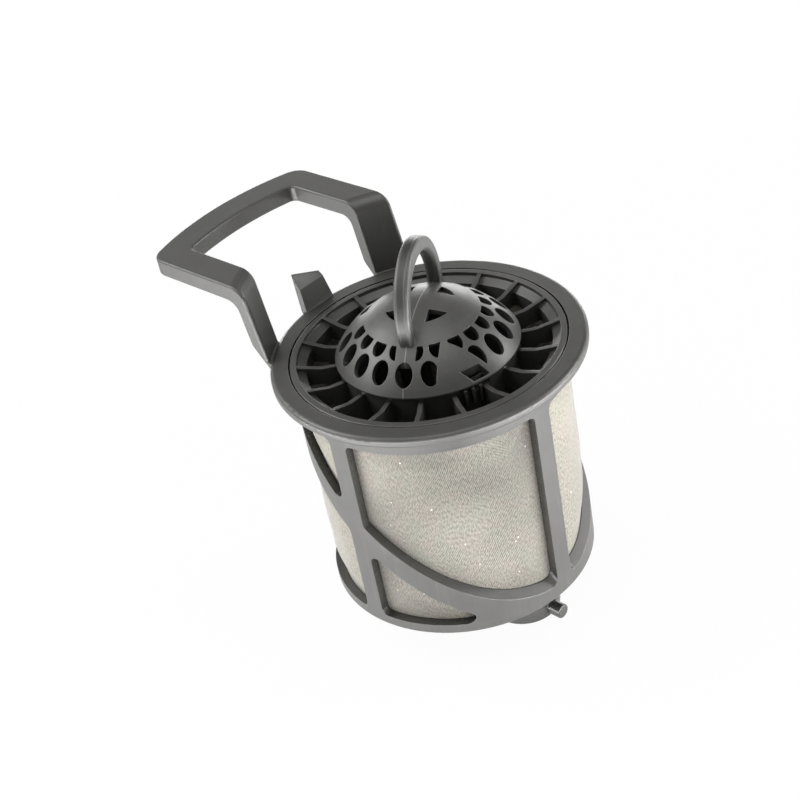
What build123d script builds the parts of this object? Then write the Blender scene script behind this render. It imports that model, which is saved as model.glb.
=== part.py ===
from build123d import *
import math
import os

# Dishwasher filter: a caged mesh microfilter with its handle, and the coarse filter that lifts out of it.
# Millimetres. +Z runs up the filter's axis, the rim's top face is z = 0, the handle points to +Y.

# Rim and body of the microfilter
rim_overhang = 5.6
rim_edge_height = 2.9
rim_root_drop = 1.4
rim_top_round = 1.3
rim_low_round = 0.8
recess_step = 0.2
recess_depth = 2.5
body_radius = 40.4
cage_wall = 2.7
body_height = 75.4
top_band_height = 9.5
bottom_band_height = 3.0
floor_thickness = 1.6
floor_rib_height = 2.0
floor_rib_width = 1.4
floor_rib_count = 8
floor_rib_gap = 0.5

# Cage: upright ribs and the leaning hoop
rib_count = 4
rib_width = 6.1
hoop_top_level = 36.0
hoop_top_tilt = 41.2
hoop_low_level = 44.8
hoop_low_tilt = 39.7
window_corner = 2.2
window_overcut = 0.5

# Woven sleeve inside the cage
mesh_wall = 0.4
mesh_top_drop = 3.4

# Handle
handle_top = 23.5
handle_thickness = 5.4
handle_half_width = 31.1
arm_width = 9.8
grip_reach = 84.6
grip_width = 10.0
grip_bow = 5.8
grip_outer_round = 6.0
grip_inner_round = 2.2
leg_thickness = 4.1
leg_lean = 3.8
leg_root_rise = 4.8
leg_root_drop = 2.2
leg_root_inset = 1.4
leg_root_cover = 0.4
leg_foot_inset = 0.2
knee_inner_round = 3.4
knee_outer_round = 4.6
handle_edge_round = 0.7

# Hook tab between the handle's legs
tab_base_width = 11.4
tab_top_width = 9.8
tab_height = 7.0
tab_lean = 2.0
tab_thickness = 2.0
tab_root_drop = 0.5
tab_barb_reach = 3.4
tab_barb_rise = 4.7
tab_barb_end_reach = 1.2
tab_barb_end_rise = 1.0

# Locking boss and pin under the floor
boss_offset = 22.3
boss_radius = 11.0
boss_wall = 1.8
boss_height = 13.6
boss_edge_round = 0.7
pin_radius = 2.3
pin_reach = 4.5
pin_rise = 3.1
pin_end_round = 0.5

# Coarse filter: flange, fins and hub
seat_gap = 0.35
flange_width = 2.05
flange_thickness = 2.5
flange_round = 0.4
collar_gap = 0.4
collar_wall = 1.2
fin_count = 18
fin_phase = 17.2
fin_thickness = 1.35
fin_root_drop = 0.2
fin_kink_share = 0.44
fin_kink_drop = 2.0
fin_outer_depth = 7.0
fin_inner_depth = 13.0
hub_radius = 26.2
hub_wall = 1.8
hub_depth = 16.0

# Collecting cup under the hub
cup_wall = 1.4
cup_gap = 0.1
cup_shoulder = 2.0
cup_depth = 44.0
cup_foot_radius = 20.5
cup_top_drop = 1.0
cup_slot_count = 24
cup_slot_width = 2.2
cup_slot_margin = 5.0
cup_floor_holes = 12
cup_floor_hole_radius = 1.5
cup_floor_hole_ring = 14.0

# Dome with its drilled rows
dome_overhang = 0.5
dome_height = 14.6
dome_wall = 1.6
dome_skirt_gap = 0.1
dome_skirt_wall = 0.6
dome_skirt_depth = 1.0
dome_skirt_round = 0.3
hole_count = 20
loop_angle = 27.2
outer_row_radius = 23.1
outer_hole_width = 5.0
outer_hole_length = 7.2
inner_row_radius = 18.0
inner_hole_width = 4.1
inner_hole_length = 5.6
inner_row_stop = 16.8
blank_place = 5
ridge_half_width = 2.9
ridge_reach = 20.5
pad_along = 13.7
pad_across = 9.0
crown_radius = 10.0
crown_bar_half = 3.75
crown_cross_half = 4.3
crown_corner = 1.2
latch_along = 17.1
latch_width = 4.2
latch_length = 2.3
latch_lip = 0.4
latch_notch_depth = 3.0

# Guide ribs on the hub under each latch window
guide_count = 3
guide_pitch = 5.0
guide_angle = 221.8
guide_width = 0.9
guide_stand = 1.2
guide_top_drop = 1.2
guide_height = 5.0

# Pull loop over the dome
loop_level = 14.0
loop_half_span = 17.6
loop_rise = 18.7
loop_leg_thickness = 3.2
loop_top_thickness = 4.6
loop_width = 4.2
loop_edge_round = 0.9

# Worked out from the sizes above
rim_radius = body_radius + rim_overhang
recess_radius = body_radius + recess_step
mesh_radius = body_radius - cage_wall
dome_edge_radius = hub_radius + dome_overhang
dome_skirt_radius = hub_radius + dome_skirt_gap + dome_skirt_wall
latch_outer_radius = dome_skirt_radius - latch_lip
latch_inner_radius = latch_outer_radius - latch_length
dome_sphere = (dome_edge_radius**2 + dome_height**2) / (2 * dome_height)
dome_centre = dome_height - dome_sphere
flange_radius = recess_radius - seat_gap
fin_root_radius = flange_radius - flange_width
collar_radius = mesh_radius - mesh_wall - collar_gap
fin_kink_radius = hub_radius + fin_kink_share * (fin_root_radius - hub_radius)
hole_pitch = 360.0 / hole_count
reach = 2 * rim_radius
near = 0.01
LOW = (Align.CENTER, Align.CENTER, Align.MIN)
HIGH = (Align.CENTER, Align.CENTER, Align.MAX)


def turned(points):
    """Solid of revolution about the filter's axis from (radius, height) points."""
    return revolve(Plane.XZ * make_face(Polyline(*points, close=True)), Axis.Z)


def tube(outer, inner, low, high):
    """Upright ring between two levels."""
    ring = Cylinder(outer, high - low, align=LOW) - Cylinder(inner, high - low, align=LOW)
    return Pos(0, 0, low) * ring


def across(radius):
    """Slab that lies between the two leaning planes of the hoop, out to the given reach."""
    top_rise = radius * math.tan(math.radians(hoop_top_tilt))
    low_rise = radius * math.tan(math.radians(hoop_low_tilt))
    outline = Polyline(
        (-radius, -hoop_top_level - top_rise),
        (radius, -hoop_top_level + top_rise),
        (radius, -hoop_low_level + low_rise),
        (-radius, -hoop_low_level - low_rise),
        close=True,
    )
    return extrude(Plane.YZ * make_face(outline), radius, both=True)


def window_cutters():
    """Cage windows: one quadrant each, split by the hoop, with rounded corners."""
    quadrant = 360.0 / rib_count
    rib_angle = math.degrees(rib_width / body_radius)
    low = bottom_band_height - body_height
    inside = mesh_radius - window_overcut
    outside = body_radius + window_overcut
    outline = Polyline(
        (inside, low),
        (outside, low),
        (outside, -top_band_height),
        (inside, -top_band_height),
        close=True,
    )
    cutters = []
    for index in range(rib_count):
        wedge = revolve(Plane.XZ * make_face(outline), Axis.Z, quadrant - rib_angle)
        wedge = Rot(0, 0, index * quadrant + rib_angle / 2) * wedge
        wedge -= across(reach)
        corners = [edge for edge in wedge.edges().filter_by(GeomType.LINE) if not upright(edge)]
        cutters.append(fillet(corners, window_corner))
    return cutters


def upright(edge):
    """True for an edge that runs along the filter's axis."""
    return abs(edge.tangent_at(0.5).Z) > 0.999


def frame_shell():
    """Rim, walls and floor, turned in one outline."""
    flange_low = rim_edge_height + rim_root_drop
    outline = make_face(
        Polyline(
            (mesh_radius, -recess_depth),
            (recess_radius, -recess_depth),
            (recess_radius, 0),
            (rim_radius, 0),
            (rim_radius, -rim_edge_height),
            (body_radius, -flange_low),
            (body_radius, -body_height),
            (0, -body_height),
            (0, floor_thickness - body_height),
            (mesh_radius, floor_thickness - body_height),
            close=True,
        )
    )
    rim_corners = outline.vertices().filter_by(lambda v: v.X > rim_radius - near)
    outline = fillet(rim_corners.sort_by(Axis.Y)[-1], rim_top_round)
    low_corner = outline.vertices().filter_by(lambda v: v.X > rim_radius - near).sort_by(Axis.Y)[0]
    outline = fillet(low_corner, rim_low_round)
    return revolve(Plane.XZ * outline, Axis.Z)


def floor_ribs():
    """Low stiffening ribs on the floor, inside the sleeve."""
    length = mesh_radius - mesh_wall - floor_rib_gap
    rib = Box(length, floor_rib_width, floor_rib_height, align=(Align.MIN, Align.CENTER, Align.MIN))
    rib = Pos(0, 0, floor_thickness - body_height) * rib
    return [Rot(0, 0, index * 360.0 / floor_rib_count) * rib for index in range(floor_rib_count)]


def handle_outline(half_width, reach_out, corner):
    """Plan of the handle's outer or inner edge: two straight arms and a bowed grip."""
    low = rim_radius / 3
    side = reach_out - grip_bow * (half_width / handle_half_width) ** 2
    edge = Polyline((-half_width, side), (-half_width, low), (half_width, low), (half_width, side))
    bow = ThreePointArc((half_width, side), (0, reach_out), (-half_width, side))
    face = make_face(edge + bow)
    corners = face.vertices().filter_by(lambda v: v.Y > side - near)
    return fillet(corners, corner)


def handle():
    """Two leaning legs on the rim, knees, arms and grip, all in one strip."""
    foot = rim_radius - leg_foot_inset
    knee = foot + leg_lean
    under = handle_top - handle_thickness
    lean_at = leg_lean / handle_top
    side = make_face(
        Polyline(
            (rim_radius - leg_root_inset, -leg_root_drop),
            (rim_radius - leg_root_inset, -leg_root_cover),
            (foot, 0),
            (knee, handle_top),
            (grip_reach + grip_width, handle_top),
            (grip_reach + grip_width, under),
            (foot + leg_thickness + lean_at * under, under),
            (foot + leg_thickness + lean_at * leg_root_rise, leg_root_rise),
            (rim_radius, -leg_root_drop),
            close=True,
        )
    )
    side = fillet(side.vertices().sort_by_distance((knee, handle_top))[0], knee_outer_round)
    inner_knee = (foot + leg_thickness + lean_at * under, under)
    side = fillet(side.vertices().sort_by_distance(inner_knee)[0], knee_inner_round)
    strip = revolve(Plane.XZ * side, Axis.Z, 180)
    plan = handle_outline(handle_half_width, grip_reach, grip_outer_round)
    opening = handle_outline(handle_half_width - arm_width, grip_reach - grip_width, grip_inner_round)
    plan -= opening
    plan -= Pos(0, rim_radius / 4) * Rectangle(2 * (handle_half_width - arm_width), rim_radius / 2)
    prism = Pos(0, 0, -rim_radius) * extrude(plan, 2 * rim_radius)
    solid = (strip & prism).solids().sort_by(SortBy.VOLUME)[-1]
    edges = [edge for edge in solid.edges() if edge.bounding_box().min.Z > leg_root_rise / 2]
    return fillet(edges, handle_edge_round)


def hook_tab():
    """Leaning tab with a barb that is longer at one end."""
    foot = rim_radius - tab_thickness
    left = [
        (foot, -tab_root_drop),
        (foot + tab_lean, tab_height),
        (foot + tab_lean + tab_barb_reach, tab_height + tab_barb_rise),
        (rim_radius, -tab_thickness),
    ]
    right = list(left)
    right[2] = (foot + tab_lean + tab_barb_end_reach, tab_height + tab_barb_end_rise)
    ends = []
    for offset, points in ((-tab_base_width / 2, left), (tab_base_width / 2, right)):
        ends.append(Plane.YZ.offset(offset) * make_face(Polyline(*points, close=True)))
    tab = loft(ends, ruled=True)
    taper = math.degrees(math.atan((tab_base_width - tab_top_width) / 2 / tab_height))
    trim = Box(tab_base_width, rim_radius, reach, align=(Align.MIN, Align.CENTER, Align.CENTER))
    tab -= Pos(tab_base_width / 2, foot, 0) * Rot(0, -taper, 0) * trim
    tab -= Pos(-tab_base_width / 2, foot, 0) * Rot(0, taper, 180) * trim
    return tab


def locking_boss():
    """Hollow round boss under the floor, with the pin that slides under the sump's ramp."""
    top = -body_height
    boss = Pos(0, -boss_offset, top) * Cylinder(boss_radius, boss_height, align=HIGH)
    rim = boss.edges().filter_by(GeomType.CIRCLE).sort_by(Axis.Z)[0]
    boss = fillet(rim, boss_edge_round)
    boss -= Pos(0, -boss_offset, top) * Cylinder(boss_radius - boss_wall, boss_height, align=HIGH)
    length = pin_reach + boss_wall / 2
    pin = Cylinder(pin_radius, length, align=LOW)
    pin = fillet(pin.edges().filter_by(GeomType.CIRCLE).sort_by(Axis.Z)[-1], pin_end_round)
    start = boss_offset + boss_radius - boss_wall / 2
    pin = Pos(0, -start, top - boss_height + pin_rise) * Rot(90, 0, 0) * pin
    return boss + pin


def outer_frame():
    """Rim, cage, floor, handle, hook tab and locking boss: one moulding."""
    frame = frame_shell()
    for cutter in window_cutters():
        frame -= cutter
    for rib in floor_ribs():
        frame += rib
    frame += handle()
    frame += hook_tab()
    frame += locking_boss()
    return frame


def mesh_sleeve():
    """Woven sleeve that stands on the floor behind the cage."""
    return tube(mesh_radius, mesh_radius - mesh_wall, floor_thickness - body_height, -mesh_top_drop)


def fin():
    """One kinked blade from the flange's collar down to the hub."""
    outline = Polyline(
        (collar_radius - collar_wall / 2, -fin_outer_depth),
        (collar_radius - collar_wall / 2, -flange_thickness),
        (fin_root_radius + seat_gap, -flange_thickness / 2),
        (fin_root_radius + seat_gap, -fin_root_drop),
        (fin_kink_radius, -fin_kink_drop),
        (hub_radius - hub_wall / 2, -fin_kink_drop),
        (hub_radius - hub_wall / 2, -fin_inner_depth),
        (fin_kink_radius, -fin_outer_depth),
        close=True,
    )
    return extrude(Plane.XZ * make_face(outline), fin_thickness / 2, both=True)


def latch_slots():
    """Upright slots of the latches, one on each side of the pull loop."""
    slots = []
    for side in (-1, 1):
        slot = Pos(side * latch_along, side * reach / 2, 0) * Box(latch_width, reach, reach)
        slots.append(Rot(0, 0, loop_angle) * slot)
    return slots


def guide_ribs():
    """Short upright ribs on the hub's outer face, a group under each latch window."""
    rib = Box(guide_stand + hub_wall / 2, guide_width, guide_height, align=(Align.MIN, Align.CENTER, Align.MAX))
    rib = Pos(hub_radius - hub_wall / 2, 0, -guide_top_drop) * rib
    ribs = []
    for side in (0, 180):
        for index in range(guide_count):
            ribs.append(Rot(0, 0, loop_angle + guide_angle + side + (index - 1) * guide_pitch) * rib)
    return ribs


def coarse_grille():
    """Flange with its collar, kinked fins and hub ring: one moulding."""
    outline = make_face(
        Polyline(
            (fin_root_radius, 0),
            (flange_radius, 0),
            (flange_radius, -flange_thickness),
            (collar_radius, -flange_thickness),
            (collar_radius, -fin_outer_depth),
            (collar_radius - collar_wall, -fin_outer_depth),
            (collar_radius - collar_wall, -flange_thickness),
            (fin_root_radius, -flange_thickness / 2),
            close=True,
        )
    )
    outer_edge = outline.vertices().filter_by(lambda v: v.X > flange_radius - near).sort_by(Axis.Y)[-1]
    grille = revolve(Plane.XZ * fillet(outer_edge, flange_round), Axis.Z)
    fins = [Rot(0, 0, fin_phase + index * 360.0 / fin_count) * fin() for index in range(fin_count)]
    grille += fins
    grille += tube(hub_radius, hub_radius - hub_wall, -hub_depth, 0)
    grille += guide_ribs()
    band = tube(hub_radius + seat_gap, hub_radius - hub_wall - seat_gap, -latch_notch_depth, latch_notch_depth)
    for slot in latch_slots():
        grille -= band & slot
    return grille


def collecting_cup():
    """Tapered slotted cup that hangs inside the hub."""
    top = -cup_top_drop
    foot = -cup_top_drop - cup_depth
    mouth = hub_radius - hub_wall - cup_gap
    outline = [
        (mouth - cup_wall, top),
        (mouth, top),
        (mouth, -hub_depth),
        (hub_radius, -hub_depth),
        (hub_radius, -hub_depth - cup_shoulder),
        (mouth, -hub_depth - cup_shoulder),
        (cup_foot_radius, foot),
        (0, foot),
        (0, foot + cup_wall),
        (cup_foot_radius - cup_wall, foot + cup_wall),
        (mouth - cup_wall, -hub_depth - cup_shoulder),
    ]
    cup = turned(outline)
    slot_length = cup_depth - hub_depth - 2 * cup_slot_margin + cup_top_drop
    slot_low = foot + cup_slot_margin
    slot = SlotOverall(slot_length, cup_slot_width, rotation=90)
    slot = extrude(Plane.YZ * slot, hub_radius + cup_wall)
    for index in range(cup_slot_count):
        place = Rot(0, 0, index * 360.0 / cup_slot_count) * Pos(0, 0, slot_low + slot_length / 2)
        cup -= place * slot
    for index in range(cup_floor_holes):
        place = Rot(0, 0, index * 360.0 / cup_floor_holes) * Pos(cup_floor_hole_ring, 0, foot)
        cup -= place * Cylinder(cup_floor_hole_radius, cup_wall, align=LOW)
    return cup


def hole_cutter(row_radius, width, length, angle):
    """Oval cutter square to the dome at the given radius and angle round the axis."""
    lean = math.degrees(math.asin(row_radius / dome_sphere))
    oval = extrude(Ellipse(length / 2, width / 2), dome_sphere + dome_wall)
    oval -= extrude(Ellipse(length / 2, width / 2), dome_sphere / 2)
    return Pos(0, 0, dome_centre) * Rot(0, 0, angle) * Rot(0, lean, 0) * oval


def crown_stop():
    """Cone from the dome's centre that keeps the crown solid and is square to the dome's face."""
    rise = dome_sphere + dome_wall
    spread = rise * math.tan(math.asin(inner_row_stop / dome_sphere))
    return Pos(0, 0, dome_centre) * turned([(0, 0), (spread, rise), (0, rise)])


def drilled_rows():
    """Both rows of oval holes, stopped at the crown, at the solid pads and at the ridge."""
    holes = []
    for index in range(hole_count):
        if index == blank_place:
            continue
        angle = index * hole_pitch
        holes.append(hole_cutter(outer_row_radius, outer_hole_width, outer_hole_length, angle))
        short = hole_cutter(inner_row_radius, inner_hole_width, inner_hole_length, angle + hole_pitch / 2)
        holes.append(short - crown_stop())
    stops = Box(2 * ridge_reach, 2 * ridge_half_width, reach)
    stops &= Cylinder(ridge_reach, reach)
    for side in (-1, 1):
        outward = Align.MIN if side > 0 else Align.MAX
        pad = Box(reach, reach, reach, align=(outward, outward, Align.CENTER))
        stops += Pos(side * pad_along, side * pad_across, 0) * pad
    return [hole - stops for hole in holes]


def crown_windows():
    """Four quadrant windows round the dome's top."""
    disc = Circle(crown_radius)
    disc -= Rectangle(reach, 2 * crown_bar_half)
    disc -= Rectangle(2 * crown_cross_half, reach)
    windows = []
    for face in disc.faces():
        windows.append(extrude(fillet(face.vertices(), crown_corner), dome_height * 2))
    return windows


def latch_windows():
    """Two latch windows near the dome's edge, one in each solid pad."""
    band = tube(latch_outer_radius, latch_inner_radius, -dome_height, dome_height)
    return [band & slot for slot in latch_slots()]


def pull_loop():
    """Arched finger loop that stands on the dome."""
    outer = Ellipse(loop_half_span, loop_rise)
    inner = Ellipse(loop_half_span - loop_leg_thickness, loop_rise - loop_top_thickness)
    arch = extrude(Plane.XZ * (outer - inner), loop_width / 2, both=True)
    arch = fillet(arch.edges(), loop_edge_round)
    return Pos(0, 0, loop_level) * arch


def dome_cap():
    """Perforated dome with its pull loop: one moulding."""
    ball = Pos(0, 0, dome_centre) * Sphere(dome_sphere)
    hollow = Pos(0, 0, dome_centre) * Sphere(dome_sphere - dome_wall)
    above = Cylinder(reach, reach, align=LOW)
    shell = ball & (Pos(0, 0, -dome_skirt_depth) * Cylinder(dome_skirt_radius, reach, align=LOW))
    shell = fillet(shell.edges().filter_by(GeomType.CIRCLE).sort_by(Axis.Z)[0], dome_skirt_round)
    shell -= Cylinder(hub_radius + dome_skirt_gap, reach, align=HIGH)
    shell -= hollow
    for cutter in drilled_rows() + crown_windows():
        shell -= cutter
    arch = (pull_loop() & above) - hollow
    arch = arch.solids().sort_by(SortBy.VOLUME)[-1]
    cap = Rot(0, 0, loop_angle) * (shell + arch)
    for window in latch_windows():
        cap -= window
    return cap


def build_parts():
    """Every separate piece under the name of its node."""
    return {
        "outer_frame": outer_frame(),
        "mesh_sleeve": mesh_sleeve(),
        "coarse_grille": coarse_grille(),
        "collecting_cup": collecting_cup(),
        "dome_cap": dome_cap(),
    }


os.makedirs("parts", exist_ok=True)
for name, shape in build_parts().items():
    export_step(shape, f"parts/{name}.step")
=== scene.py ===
import math
import bmesh
import bpy
from mathutils import Matrix, Vector, noise


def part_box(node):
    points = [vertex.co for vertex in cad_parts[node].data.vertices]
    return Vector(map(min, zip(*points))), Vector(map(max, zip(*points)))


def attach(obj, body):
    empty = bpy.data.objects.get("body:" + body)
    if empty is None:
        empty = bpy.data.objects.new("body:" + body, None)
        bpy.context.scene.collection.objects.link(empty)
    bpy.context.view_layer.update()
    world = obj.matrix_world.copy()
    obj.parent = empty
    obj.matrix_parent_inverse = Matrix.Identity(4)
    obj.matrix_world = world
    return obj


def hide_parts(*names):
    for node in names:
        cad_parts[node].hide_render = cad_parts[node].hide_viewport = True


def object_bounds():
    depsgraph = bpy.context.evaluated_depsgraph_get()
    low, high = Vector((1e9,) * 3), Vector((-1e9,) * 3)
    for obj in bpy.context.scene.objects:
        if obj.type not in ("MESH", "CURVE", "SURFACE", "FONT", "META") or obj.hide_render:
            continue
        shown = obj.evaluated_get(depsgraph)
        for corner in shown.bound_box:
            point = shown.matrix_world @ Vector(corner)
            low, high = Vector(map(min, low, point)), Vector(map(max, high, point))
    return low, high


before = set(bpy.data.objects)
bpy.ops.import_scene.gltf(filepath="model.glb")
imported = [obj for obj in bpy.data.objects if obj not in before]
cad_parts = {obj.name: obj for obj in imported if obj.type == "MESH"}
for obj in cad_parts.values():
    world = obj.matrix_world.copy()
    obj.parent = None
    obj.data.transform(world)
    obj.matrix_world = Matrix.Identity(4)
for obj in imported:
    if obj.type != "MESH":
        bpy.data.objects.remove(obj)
cad_box = [list(corner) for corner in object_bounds()]

bl_info = {
    "name": "Dishwasher filter dresser",
    "version": (1, 0, 0),
    "blender": (4, 5, 0),
    "location": "View3D > Sidebar > Filter",
    "description": "Dresses a caged dishwasher filter: moulded plastic, woven steel sleeve and stage",
    "category": "Object",
}

MM = 0.001
GROUND = cad_box[0][2]
FULL_TURN = 2 * math.pi
WHITE = (1.0, 1.0, 1.0, 1.0)


# Shader maths


class Shade:
    """A shader socket that reads like a number, a vector or a colour in an expression."""

    def __init__(self, tree, socket=None):
        self.tree = tree
        self.socket = socket

    def node(self, kind, settings=None, inputs=None, output=0):
        """Any node: its settings first, then the values or links of its sockets."""
        made = self.tree.nodes.new(kind)
        for name, value in (settings or {}).items():
            if name == "stops":
                self.set_stops(made.color_ramp, value)
            else:
                setattr(made, name, value)
        for key, value in (inputs or {}).items():
            if isinstance(value, Shade):
                self.tree.links.new(value.socket, made.inputs[key])
            else:
                made.inputs[key].default_value = value
        return Shade(self.tree, made.outputs[output]) if made.outputs else None

    @staticmethod
    def set_stops(ramp, stops):
        """Colour ramp from (position, grey) pairs."""
        while len(ramp.elements) < len(stops):
            ramp.elements.new(0.5)
        for element, (place, level) in zip(ramp.elements, stops):
            element.position = place
            element.color = grey(level)

    def math(self, operation, first, second=0.0):
        return self.node("ShaderNodeMath", {"operation": operation}, {0: first, 1: second})

    def __add__(self, other):
        return self.math("ADD", self, other)

    def __sub__(self, other):
        return self.math("SUBTRACT", self, other)

    def __mul__(self, other):
        return self.math("MULTIPLY", self, other)

    def __truediv__(self, other):
        return self.math("DIVIDE", self, other)

    __radd__ = __add__
    __rmul__ = __mul__

    def __rsub__(self, other):
        return self.math("SUBTRACT", other, self)

    def sine(self):
        return self.math("SINE", self)

    def size(self):
        """The value without its sign."""
        return self.math("ABSOLUTE", self)

    def ramp(self, stops):
        return self.node("ShaderNodeValToRGB", {"stops": stops}, {"Fac": self})

    def rise(self, low, high):
        """0 up to low, 1 from high on."""
        return self.ramp([(low, 0.0), (high, 1.0)])

    def fall(self, low, high):
        """1 up to low, 0 from high on."""
        return self.ramp([(low, 1.0), (high, 0.0)])

    def mix(self, low, high):
        """Colour that goes from low to high as this value goes from 0 to 1."""
        settings = {"data_type": "RGBA", "clamp_factor": True}
        return self.node("ShaderNodeMix", settings, {0: self, 6: low, 7: high}, 2)

    def tint(self, colour):
        """This colour multiplied by another."""
        settings = {"data_type": "RGBA", "blend_type": "MULTIPLY"}
        return self.node("ShaderNodeMix", settings, {0: 1.0, 6: self, 7: colour}, 2)

    def clouds(self, place, scale, detail, roughness=0.5):
        """Soft noise about 0.5, read at a place."""
        inputs = {"Vector": place, "Scale": scale, "Detail": detail, "Roughness": roughness}
        return self.node("ShaderNodeTexNoise", None, inputs)

    def stretched(self, place, scale):
        """A place with its axes scaled, so that a noise read there is drawn out."""
        return self.node("ShaderNodeMapping", None, {"Vector": place, "Scale": scale})

    def openness(self, distance, inputs=None):
        """How much of the air within a distance is free of other faces, 0 to 1."""
        sockets = {"Distance": distance, **(inputs or {})}
        return self.node("ShaderNodeAmbientOcclusion", {"samples": 6}, sockets, "AO")


def grey(level):
    return (level, level, level, 1.0)


def rgba(colour, gain=1.0):
    return (colour[0] * gain, colour[1] * gain, colour[2] * gain, 1.0)


def fresh_material(name):
    """Empty node material, and a Shade to start from."""
    material = bpy.data.materials.new(name)
    material.use_nodes = True
    material.node_tree.nodes.clear()
    return material, Shade(material.node_tree)


def close_material(shade, surface):
    """Links the finished surface to the material's output."""
    shade.node("ShaderNodeOutputMaterial", None, {"Surface": surface})


# Moulded plastic: how fine each mark is, in cycles per metre

FLOW_SCALE = 38.0
PATCH_SCALE = 210.0
SPARK_SCALE = 2600.0
STREAK_SCALE = (25.0, 25.0, 1100.0)
SCUFF_SCALE = (900.0, 900.0, 60.0)

# Moulded plastic: how dark or pale each mark is, as a share of the plastic's own colour

TONE_DARK = 0.5
TONE_PALE = 1.5
SCUFF_PALE = 1.9
# Painted highlight along the soft edges
EDGE_HIGHLIGHT = 2.4
# Painted highlight on the dome's parting line, and painted shade in the loop's stripe below
LINE_HIGHLIGHT = 3.2
STRIPE_SHADE = 0.35
# Painted shade in corners and recesses
PAINTED_SHADE_DARK = 0.18


def moulded_plastic(name, colour, roughness, grain, edge, painted_shade_reach, marks=None):
    """Injection moulded plastic: flow marks, spark grain, soft edges with a painted highlight, corners
    darkened with painted shade and made smoother.

    Its reach argument is how far off a neighbouring face still darkens this one with painted shade. marks
    gives the masks of a raised line painted pale as a highlight and of a sunk stripe painted dark as shade.
    """
    material, shade = fresh_material(name)
    place = shade.node("ShaderNodeTexCoord", output="Object")
    flow = shade.clouds(place, FLOW_SCALE, 3.0, 0.55)
    patch = shade.clouds(place, PATCH_SCALE, 4.0, 0.6)
    spark = shade.clouds(place, SPARK_SCALE, 2.0)
    streak = shade.clouds(shade.stretched(place, STREAK_SCALE), 1.0, 2.0)
    scuff = shade.clouds(shade.stretched(place, SCUFF_SCALE), 1.0, 2.0)

    round_edge = shade.node("ShaderNodeBevel", {"samples": 4}, {"Radius": edge})
    face_normal = shade.node("ShaderNodeNewGeometry", output="Normal")
    dot_product = {"operation": "DOT_PRODUCT"}
    flatness = shade.node("ShaderNodeVectorMath", dot_product, {0: round_edge, 1: face_normal}, "Value")
    # Painted highlight along the edges, where the softened normal turns away from the face.
    edge_highlight = flatness.fall(0.9, 0.985)
    # Painted shade: a face crowded by other faces within the reach is darkened, and made smoother too.
    unshaded = shade.openness(painted_shade_reach, {"Normal": round_edge}).rise(0.3, 0.92)

    tone = 0.3 * flow + 0.25 * patch + 0.2 * streak + 0.25 * scuff
    body = tone.mix(rgba(colour, TONE_DARK), rgba(colour, TONE_PALE))
    worn = (scuff.rise(0.62, 0.8) * 0.25).mix(body, rgba(colour, SCUFF_PALE))
    marked = edge_highlight.mix(worn, rgba(colour, EDGE_HIGHLIGHT))
    height = 0.6 * spark + 0.2 * patch + 0.2 * streak
    if marks:
        # Painted highlight on the raised parting line and painted shade in the loop's sunk stripe, over their
        # bumps.
        line, stripe = marks(shade, place)
        striped = stripe.mix(marked, rgba(colour, STRIPE_SHADE))
        marked = line.mix(striped, rgba(colour, LINE_HIGHLIGHT))
        height = height + 1.5 * line - 2.5 * stripe
    painted_shade_colour = unshaded.mix(rgba(colour, PAINTED_SHADE_DARK), marked)
    rough = roughness * (0.6 + 0.4 * unshaded) + 0.16 * (patch - 0.5) + 0.14 * (streak - 0.5)

    relief = {"Strength": grain, "Distance": 0.08 * MM, "Height": height, "Normal": round_edge}
    plastic = {
        "Base Color": painted_shade_colour,
        "Roughness": rough,
        "Normal": shade.node("ShaderNodeBump", None, relief),
        "IOR": 1.6,
        "Specular IOR Level": 0.9,
    }
    close_material(shade, shade.node("ShaderNodeBsdfPrincipled", None, plastic))
    return material


# Wire cloth: how fine its marks are, in cycles per metre

HUE_SCALE = 150.0
WANDER_SCALE = 90.0
CLOUD_SCALE = 60.0
DRAPE_SCALE = 28.0

# Wire cloth: millimetres along the cloth from the front window's middle, where the painted highlight of the
# side windows starts and where it is full, and the span that its mask is read over

FRONT_REACH = 24.0
SIDE_REACH = 37.2
REACH_SPAN = 60.0

# Wire cloth: how the wires lean and wander, and how dark or pale its parts are

STROKE_LEAN = 0.35
WARP_LEAN = 0.16
WEFT_LEAN = 0.3
WARP_WANDER = 1.6
WEFT_WANDER = 1.4
GAP_DARK = 0.5
WIRE_PALE = 1.7
CLOUD_DARK = 0.78
CLOUD_PALE = 1.28
SHADE_DARK = 0.55
# Painted highlight: how much paler the cloth of the side windows is
SIDE_HIGHLIGHT = (1.75, 1.72, 1.68, 1.0)
GREEN_TINGE = (0.98, 1.01, 0.97, 1.0)
WARM_TINGE = (1.025, 1.0, 0.985, 1.0)
GLINT = (1.0, 1.0, 0.98, 1.0)


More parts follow.
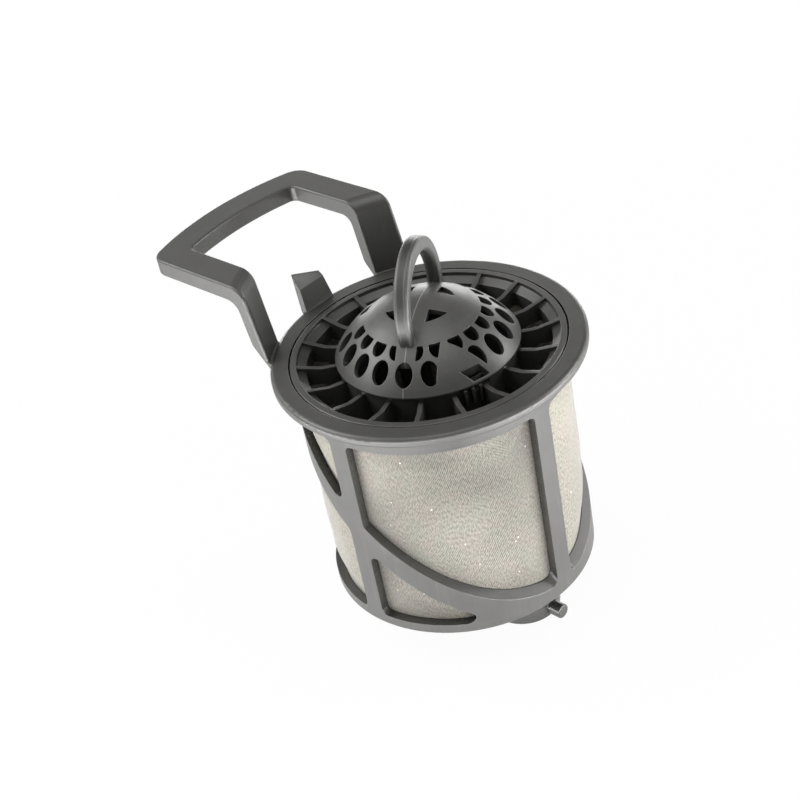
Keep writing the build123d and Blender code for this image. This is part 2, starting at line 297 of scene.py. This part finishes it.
def woven_steel(name, colour, pitch, front):
    """Fine wire cloth: steep strokes, leaning bands where the wires cross, painted glints on a few wires.

    pitch is the distance between wires and front the middle of the front window along the cloth, both in
    millimetres. The windows beside the front one get a painted highlight: their cloth is paler.
    """
    material, shade = fresh_material(name)
    place = shade.node("ShaderNodeTexCoord", output="Object")
    cloth = shade.node("ShaderNodeUVMap", {"uv_map": "weave"})
    across = shade.node("ShaderNodeSeparateXYZ", None, {"Vector": cloth}, "X")
    along = shade.node("ShaderNodeSeparateXYZ", None, {"Vector": cloth}, "Y")
    hue = shade.clouds(place, HUE_SCALE, 2.0)
    wander = shade.clouds(place, WANDER_SCALE, 2.0)
    cloud = shade.clouds(place, CLOUD_SCALE, 3.0)
    drape = shade.clouds(place, DRAPE_SCALE, 1.5, 0.4)

    steep_turn = {
        "Vector": cloth,
        "Scale": (1.2 / pitch, 0.4 / pitch, 1.0),
        "Rotation": (0.0, 0.0, STROKE_LEAN),
    }
    stroke = shade.clouds(shade.node("ShaderNodeMapping", None, steep_turn), 1.0, 1.5)
    wire_turn = FULL_TURN / pitch
    warp = ((across + along * WARP_LEAN + wander * WARP_WANDER) * wire_turn).sine() * 0.5 + 0.5
    weft = ((along + across * WEFT_LEAN + wander * WEFT_WANDER) * wire_turn).sine() * 0.5 + 0.5
    band = cloud.rise(0.46, 0.58)
    wires = 0.35 * stroke.rise(0.36, 0.64) + 0.55 * warp * (1.0 - band) + 0.6 * weft * band
    # Painted glints: bright specks on a few wires.
    cell = shade.node("ShaderNodeTexVoronoi", None, {"Vector": cloth, "Scale": 0.5}, "Distance")
    glint = cell.fall(0.09, 0.14) * hue.rise(0.63, 0.67)

    lit = wires.rise(0.1, 0.8).mix(rgba(colour, GAP_DARK), rgba(colour, WIRE_PALE))
    cloudy = drape.rise(0.38, 0.62).mix(grey(CLOUD_DARK), grey(CLOUD_PALE))
    # Painted highlight: the cloth in the windows beside the front one is made paler, most where the drape
    # noise is low.
    from_front = (across - front).size() / REACH_SPAN
    beside = from_front.rise(FRONT_REACH / REACH_SPAN, SIDE_REACH / REACH_SPAN)
    pale = beside * drape.ramp([(0.35, 1.0), (0.6, 0.25)])
    open_air = shade.openness(4.0 * MM).rise(0.35, 0.85)
    shaded = open_air.mix(grey(SHADE_DARK), pale.mix(cloudy, SIDE_HIGHLIGHT))
    tinge = hue.rise(0.42, 0.58).mix(GREEN_TINGE, WARM_TINGE)
    shown = glint.mix(lit.tint(shaded).tint(tinge), GLINT)

    relief = {"Strength": 0.6, "Distance": 0.05 * MM, "Height": wires + 2.0 * cloud}
    steel = {
        "Base Color": shown,
        "Metallic": 0.3,
        "Roughness": 0.45 + 0.2 * stroke,
        "Normal": shade.node("ShaderNodeBump", None, relief),
        "Sheen Weight": 0.8,
        "Sheen Roughness": 0.3,
    }
    close_material(shade, shade.node("ShaderNodeBsdfPrincipled", None, steel))
    return material


def stage_paper(name, colour, glow):
    """White sweep: bright to the camera and in reflections, and it still takes the shadow."""
    material, shade = fresh_material(name)
    place = shade.node("ShaderNodeTexCoord", output="Object")
    fleck = shade.clouds(place, 12.0, 2.0)
    paper = shade.node("ShaderNodeBsdfDiffuse", None, {"Color": fleck.mix(rgba(colour, 0.985), rgba(colour))})
    light = shade.node("ShaderNodeEmission", None, {"Color": WHITE, "Strength": 1.0})
    camera_ray = shade.node("ShaderNodeLightPath", output="Is Camera Ray")
    glossy_ray = shade.node("ShaderNodeLightPath", output="Is Glossy Ray")
    clear_ray = shade.node("ShaderNodeLightPath", output="Is Transmission Ray")
    seen = shade.math("MAXIMUM", shade.math("MAXIMUM", camera_ray, glossy_ray), clear_ray)
    close_material(shade, shade.node("ShaderNodeMixShader", None, {0: seen * glow, 1: paper, 2: light}))
    return material


def studio_world(name, strength):
    """White to the camera, and a plain dim sky to everything else."""
    world = bpy.data.worlds.new(name)
    world.use_nodes = True
    world.node_tree.nodes.clear()
    shade = Shade(world.node_tree)
    sky = shade.node("ShaderNodeBackground", None, {"Color": WHITE, "Strength": strength})
    backdrop = shade.node("ShaderNodeBackground", None, {"Color": WHITE, "Strength": 1.0})
    camera_ray = shade.node("ShaderNodeLightPath", output="Is Camera Ray")
    mixed = shade.node("ShaderNodeMixShader", None, {0: camera_ray, 1: sky, 2: backdrop})
    shade.node("ShaderNodeOutputWorld", None, {"Surface": mixed})
    return world


# Mesh helpers


def place_mesh(name, mesh, material):
    """Turns a bmesh into an object in the scene, with its material."""
    data = bpy.data.meshes.new(name)
    mesh.to_mesh(data)
    mesh.free()
    data.materials.append(material)
    placed = bpy.data.objects.new(name, data)
    bpy.context.scene.collection.objects.link(placed)
    return placed


def dress_node(name, material):
    """Gives a carried-over CAD node its material."""
    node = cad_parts[name]
    node.data.materials.clear()
    node.data.materials.append(material)


def smooth_step(value):
    value = max(0.0, min(1.0, value))
    return value * value * (3 - 2 * value)


# Settings


class FilterFrameSettings(bpy.types.PropertyGroup):
    """Moulded outer frame."""

    colour: bpy.props.FloatVectorProperty(
        name="Frame colour",
        description="Colour of the outer frame",
        subtype="COLOR",
        default=(0.07, 0.069, 0.064),
    )
    roughness: bpy.props.FloatProperty(
        name="Roughness", description="Roughness of the outer frame", default=0.42, min=0.05, max=1.0
    )
    grain: bpy.props.FloatProperty(
        name="Grain", description="Strength of every moulding's spark grain", default=0.25, min=0.0, max=1.0
    )
    # Also sets how wide the painted highlight along the edges is.
    edge: bpy.props.FloatProperty(
        name="Edge", description="Softening of every moulding's edges", default=0.35 * MM, unit="LENGTH"
    )
    # Reach of the painted shade that darkens the frame's corners and recesses.
    painted_shade_reach: bpy.props.FloatProperty(
        name="Grime reach", description="How far a corner darkens the frame", default=14.0 * MM, unit="LENGTH"
    )


class FilterSleeveSettings(bpy.types.PropertyGroup):
    """Woven sleeve."""

    colour: bpy.props.FloatVectorProperty(
        name="Wire colour",
        description="Colour of the wire cloth",
        subtype="COLOR",
        default=(0.205, 0.194, 0.173),
    )
    bulge: bpy.props.FloatProperty(
        name="Bulge", description="How far the cloth stands out in a window", default=1.6 * MM, unit="LENGTH"
    )
    wave: bpy.props.FloatProperty(
        name="Wave", description="Height of the cloth's soft waves", default=0.5 * MM, unit="LENGTH"
    )
    thickness: bpy.props.FloatProperty(
        name="Thickness", description="Thickness of the cloth", default=0.25 * MM, unit="LENGTH"
    )
    pitch: bpy.props.FloatProperty(
        name="Pitch", description="Pitch of the wires in millimetres", default=0.46, min=0.2, max=3.0
    )


class FilterCoarseSettings(bpy.types.PropertyGroup):
    """Coarse filter: grille, cup and dome."""

    grille_colour: bpy.props.FloatVectorProperty(
        name="Grille colour",
        description="Colour of the finned flange",
        subtype="COLOR",
        default=(0.07, 0.069, 0.064),
    )
    grille_roughness: bpy.props.FloatProperty(
        name="Grille roughness", description="Roughness of the finned flange", default=0.4, min=0.05, max=1.0
    )
    cup_colour: bpy.props.FloatVectorProperty(
        name="Cup colour",
        description="Colour of the collecting cup",
        subtype="COLOR",
        default=(0.03, 0.03, 0.03),
    )
    cup_roughness: bpy.props.FloatProperty(
        name="Cup roughness", description="Roughness of the collecting cup", default=0.5, min=0.05, max=1.0
    )
    dome_colour: bpy.props.FloatVectorProperty(
        name="Dome colour",
        description="Colour of the dome and loop",
        subtype="COLOR",
        default=(0.091, 0.09, 0.085),
    )
    dome_roughness: bpy.props.FloatProperty(
        name="Dome roughness", description="Roughness of the dome and loop", default=0.44, min=0.05, max=1.0
    )
    # Reach of the painted shade that darkens the corners and recesses of the grille, cup and dome.
    painted_shade_reach: bpy.props.FloatProperty(
        name="Grime reach", description="How far a corner darkens it", default=8.0 * MM, unit="LENGTH"
    )
    loop_angle: bpy.props.FloatProperty(
        name="Loop angle", description="Turn of the pull loop", default=math.radians(27.2), subtype="ANGLE"
    )


class FilterStageSettings(bpy.types.PropertyGroup):
    """Camera, lamps, world and floor."""

    azimuth: bpy.props.FloatProperty(
        name="Azimuth", description="Turn of the camera", default=math.radians(-40.85), subtype="ANGLE"
    )
    elevation: bpy.props.FloatProperty(
        name="Elevation", description="Tilt of the camera", default=math.radians(34.41), subtype="ANGLE"
    )
    roll: bpy.props.FloatProperty(
        name="Roll", description="Roll of the camera", default=math.radians(-11.5), subtype="ANGLE"
    )
    place: bpy.props.FloatVectorProperty(
        name="Camera place",
        description="Where the camera stands",
        subtype="XYZ",
        default=(-0.2565, -0.2799, 0.2422),
    )
    lens: bpy.props.FloatProperty(name="Lens", description="Focal length in millimetres", default=70.83)
    floor_colour: bpy.props.FloatVectorProperty(
        name="Floor colour", description="Colour of the floor", subtype="COLOR", default=(0.95, 0.95, 0.95)
    )
    floor_glow: bpy.props.FloatProperty(
        name="Floor glow", description="How white the floor looks", default=0.96, min=0.0, max=1.0
    )
    sky: bpy.props.FloatProperty(name="Sky", description="Light of the world on the object", default=0.18)
    back_power: bpy.props.FloatProperty(
        name="Back", description="Power of the back lamp", default=6.5, unit="POWER"
    )
    right_power: bpy.props.FloatProperty(
        name="Right", description="Power of the right lamp", default=3.0, unit="POWER"
    )
    left_power: bpy.props.FloatProperty(
        name="Low left", description="Power of the low strip at the left", default=0.525, unit="POWER"
    )
    front_power: bpy.props.FloatProperty(
        name="Low front", description="Power of the low strip in front", default=0.75, unit="POWER"
    )
    top_power: bpy.props.FloatProperty(
        name="Top", description="Power of the top lamp", default=2.0, unit="POWER"
    )
    rear_power: bpy.props.FloatProperty(
        name="Rear", description="Power of the low lamp behind", default=3.0, unit="POWER"
    )


class FilterSettings(bpy.types.PropertyGroup):
    """Every setting of the filter."""

    outer: bpy.props.PointerProperty(type=FilterFrameSettings)
    sleeve: bpy.props.PointerProperty(type=FilterSleeveSettings)
    coarse: bpy.props.PointerProperty(type=FilterCoarseSettings)
    stage: bpy.props.PointerProperty(type=FilterStageSettings)


# Operators


class FILTER_OT_outer_frame(bpy.types.Operator):
    """Gives the rim, cage and handle their moulded plastic"""

    bl_idname = "filter.outer_frame"
    bl_label = "Outer frame"

    def execute(self, context):
        outer = context.scene.filter_dresser.outer
        finish = (outer.grain, outer.edge, outer.painted_shade_reach)
        dress_node("outer_frame", moulded_plastic("frame_plastic", outer.colour, outer.roughness, *finish))
        return {"FINISHED"}


class FILTER_OT_woven_sleeve(bpy.types.Operator):
    """Weaves the wire cloth sleeve that bulges softly in the cage's windows"""

    bl_idname = "filter.woven_sleeve"
    bl_label = "Woven sleeve"

    # The cage that the cloth lies behind, in millimetres and degrees
    wall = 37.6
    top_band = -9.5
    low_band = -72.4
    rib_half = 3.05
    hoop_top = -36.0
    hoop_top_slope = 41.2
    hoop_low = -44.8
    hoop_low_slope = 39.7

    # Where the middle of the front window stands round the filter
    front_angle = math.radians(-135.0)

    # The cloth: how many millimetres from the cage it stands out in full, how finely it is cut up, and
    # how close its waves lie, per metre
    soft_edge = 10.0
    steps_round = 300
    cuts_along = 95
    ripple_scale = 70.0

    def clearance(self, angle, height):
        """Distance in millimetres from a point of the sleeve to the nearest rib, hoop or band."""
        east = self.wall * math.cos(angle)
        north = self.wall * math.sin(angle)
        to_rib = min(abs(east), abs(north)) - self.rib_half
        upper = self.hoop_top + north * math.tan(math.radians(self.hoop_top_slope))
        lower = self.hoop_low + north * math.tan(math.radians(self.hoop_low_slope))
        to_hoop = height - upper if height > (upper + lower) / 2 else lower - height
        return min(to_rib, to_hoop, self.top_band - height, height - self.low_band)

    def plain_sleeve(self):
        """Plain round sleeve between the mesh sleeve's ends, cut up finely enough to bulge."""
        low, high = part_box("mesh_sleeve")
        mesh = bmesh.new()
        bmesh.ops.create_circle(mesh, segments=self.steps_round, radius=self.wall * MM)
        bmesh.ops.translate(mesh, verts=mesh.verts, vec=(0, 0, low[2]))
        walls = bmesh.ops.extrude_edge_only(mesh, edges=mesh.edges)
        raised = [item for item in walls["geom"] if isinstance(item, bmesh.types.BMVert)]
        bmesh.ops.translate(mesh, verts=raised, vec=(0, 0, high[2] - low[2]))
        upright = [edge for edge in mesh.edges if abs(edge.verts[0].co.z - edge.verts[1].co.z) > MM]
        bmesh.ops.subdivide_edges(mesh, edges=upright, cuts=self.cuts_along, use_grid_fill=True)
        return mesh

    def map_weave(self, mesh):
        """Lays the weave's map along the cloth in millimetres, with each face whole across the seam."""
        layer = mesh.loops.layers.uv.new("weave")
        for face in mesh.faces:
            middle = face.calc_center_median()
            seam = math.atan2(middle.y, middle.x)
            for loop in face.loops:
                point = loop.vert.co
                angle = math.atan2(point.y, point.x)
                turns = round((angle - seam) / FULL_TURN)
                loop[layer].uv = ((angle - turns * FULL_TURN) * self.wall, point.z / MM)

    def bulge_windows(self, mesh, bulge, wave):
        """Pushes the cloth out, most in the middle of each window and not at all behind the cage."""
        for vertex in mesh.verts:
            angle = math.atan2(vertex.co.y, vertex.co.x)
            room = self.clearance(angle, vertex.co.z / MM)
            ripple = noise.noise(vertex.co * self.ripple_scale)
            push = smooth_step(room / self.soft_edge) * (bulge + wave * ripple)
            vertex.co += Vector((math.cos(angle), math.sin(angle), 0)) * push

    def execute(self, context):
        sleeve = context.scene.filter_dresser.sleeve
        mesh = self.plain_sleeve()
        self.map_weave(mesh)
        self.bulge_windows(mesh, sleeve.bulge, sleeve.wave)
        bmesh.ops.recalc_face_normals(mesh, faces=mesh.faces)
        for face in mesh.faces:
            face.smooth = True
        material = woven_steel("woven_steel", sleeve.colour, sleeve.pitch, self.front_angle * self.wall)
        piece = place_mesh("woven_sleeve", mesh, material)
        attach(piece, "microfilter")
        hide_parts("mesh_sleeve")
        cloth = piece.modifiers.new("cloth", "SOLIDIFY")
        cloth.thickness = sleeve.thickness
        cloth.offset = -1.0
        return {"FINISHED"}


class FILTER_OT_coarse_filter(bpy.types.Operator):
    """Gives the finned flange, cup and dome their moulded plastics"""

    bl_idname = "filter.coarse_filter"
    bl_label = "Coarse filter"

    # The dome's sphere, and half the width of its parting line and of the stripe in the loop's face
    dome_radius = 31.7 * MM
    dome_centre = -17.1 * MM
    line_half = 0.13 * MM
    stripe_half = 0.85 * MM

    def dome_marks(self, shade, place):
        """Masks of the mould's parting line along the dome, painted pale as a highlight, and of the stripe
        sunk in the loop's face, painted dark as shade.
        """
        turn = (0.0, 0.0, -bpy.context.scene.filter_dresser.coarse.loop_angle)
        loop_frame = shade.node("ShaderNodeMapping", None, {"Vector": place, "Rotation": turn})
        aside = shade.node("ShaderNodeSeparateXYZ", None, {"Vector": loop_frame}, "Y").size()
        centre = (0.0, 0.0, self.dome_centre)
        away = shade.node("ShaderNodeVectorMath", {"operation": "DISTANCE"}, {0: place, 1: centre}, "Value")
        on_loop = ((away - self.dome_radius) / MM).rise(0.3, 0.6)
        line = (aside / (2 * self.line_half)).fall(0.4, 0.7) * (1.0 - on_loop)
        stripe = (aside / (2 * self.stripe_half)).fall(0.45, 0.6) * on_loop
        return line, stripe

    def execute(self, context):
        coarse = context.scene.filter_dresser.coarse
        outer = context.scene.filter_dresser.outer
        finish = (outer.grain, outer.edge, coarse.painted_shade_reach)
        grille = moulded_plastic("grille_plastic", coarse.grille_colour, coarse.grille_roughness, *finish)
        cup = moulded_plastic("cup_plastic", coarse.cup_colour, coarse.cup_roughness, *finish)
        dome = moulded_plastic(
            "dome_plastic", coarse.dome_colour, coarse.dome_roughness, *finish, self.dome_marks
        )
        dress_node("coarse_grille", grille)
        dress_node("collecting_cup", cup)
        dress_node("dome_cap", dome)
        return {"FINISHED"}


class FILTER_OT_stage(bpy.types.Operator):
    """Sets up the pale floor, soft lamps, world and camera"""

    bl_idname = "filter.stage"
    bl_label = "Stage"

    floor_half = 4.0
    floor_gap = 0.2 * MM
    strip_height = 14.0 * MM
    rear_height = 0.12
    sensor_width = 36.0
    clip_start = 0.01

    def lamp(self, name, power, size, place, aim=(0, 0, 0)):
        """Soft rectangular lamp that the camera doesn't see."""
        data = bpy.data.lights.new(name, "AREA")
        data.shape = "RECTANGLE"
        data.size, data.size_y = size
        data.energy = power
        lamp = bpy.data.objects.new(name, data)
        lamp.location = place
        lamp.rotation_euler = (Vector(aim) - Vector(place)).to_track_quat("-Z", "Y").to_euler()
        lamp.visible_camera = False
        bpy.context.scene.collection.objects.link(lamp)

    def lamps(self, stage):
        """Lamps above and around the filter, and low strips that light its cage from near the floor."""
        strip = GROUND + self.strip_height
        rear = GROUND + self.rear_height
        self.lamp("back", stage.back_power, (0.9, 0.6), (-0.42, 0.68, 0.66))
        self.lamp("right", stage.right_power, (0.3, 0.4), (0.74, -0.5, 0.3))
        self.lamp("low_left", stage.left_power, (0.42, 0.024), (-0.2, 0.01, strip), (0, 0.01, -0.05))
        self.lamp("low_front", stage.front_power, (0.4, 0.024), (0.05, -0.22, strip), (0.02, 0, -0.06))
        self.lamp("top", stage.top_power, (0.7, 0.7), (-0.05, -0.12, 0.9))
        self.lamp("low_back", stage.rear_power, (0.9, 0.2), (0.55, 0.5, rear), (0, 0, -0.02))

    def floor(self, stage):
        """Pale floor just under the filter."""
        mesh = bmesh.new()
        bmesh.ops.create_grid(mesh, x_segments=8, y_segments=8, size=self.floor_half)
        bmesh.ops.translate(mesh, verts=mesh.verts, vec=(0, 0, GROUND - self.floor_gap))
        floor = place_mesh("floor", mesh, stage_paper("floor_paper", stage.floor_colour, stage.floor_glow))

    def camera(self, stage):
        """Camera at the photograph's viewing angle."""
        data = bpy.data.cameras.new("camera")
        data.lens = stage.lens
        data.sensor_width = self.sensor_width
        data.clip_start = self.clip_start
        camera = bpy.data.objects.new("camera", data)
        turn = Matrix.Rotation(stage.azimuth, 4, "Z")
        tip = Matrix.Rotation(math.pi / 2 - stage.elevation, 4, "X")
        roll = Matrix.Rotation(stage.roll, 4, "Z")
        camera.matrix_world = Matrix.Translation(stage.place) @ turn @ tip @ roll
        bpy.context.scene.collection.objects.link(camera)
        return camera

    def execute(self, context):
        scene = context.scene
        stage = scene.filter_dresser.stage
        scene.view_settings.view_transform = "Standard"
        scene.world = studio_world("studio", stage.sky)
        self.floor(stage)
        self.lamps(stage)
        scene.camera = self.camera(stage)
        return {"FINISHED"}


class FILTER_PT_panel(bpy.types.Panel):
    """Lists the filter's settings and pieces"""

    bl_label = "Filter"
    bl_idname = "FILTER_PT_panel"
    bl_space_type = "VIEW_3D"
    bl_region_type = "UI"
    bl_category = "Filter"

    def draw(self, context):
        settings = context.scene.filter_dresser
        for group in (settings.outer, settings.sleeve, settings.coarse, settings.stage):
            box = self.layout.box()
            for name in group.bl_rna.properties.keys():
                if name not in {"rna_type", "name"}:
                    box.prop(group, name)
        for operator in operators:
            self.layout.operator(operator.bl_idname)


operators = (
    FILTER_OT_outer_frame,
    FILTER_OT_woven_sleeve,
    FILTER_OT_coarse_filter,
    FILTER_OT_stage,
)
classes = (
    FilterFrameSettings,
    FilterSleeveSettings,
    FilterCoarseSettings,
    FilterStageSettings,
    FilterSettings,
    *operators,
    FILTER_PT_panel,
)


def register():
    for entry in classes:
        bpy.utils.register_class(entry)
    bpy.types.Scene.filter_dresser = bpy.props.PointerProperty(type=FilterSettings)


def unregister():
    del bpy.types.Scene.filter_dresser
    for entry in reversed(classes):
        bpy.utils.unregister_class(entry)


def main():
    register()
    bpy.ops.filter.outer_frame()
    bpy.ops.filter.woven_sleeve()
    bpy.ops.filter.coarse_filter()
    bpy.ops.filter.stage()


if __name__ == "__main__":
    main()
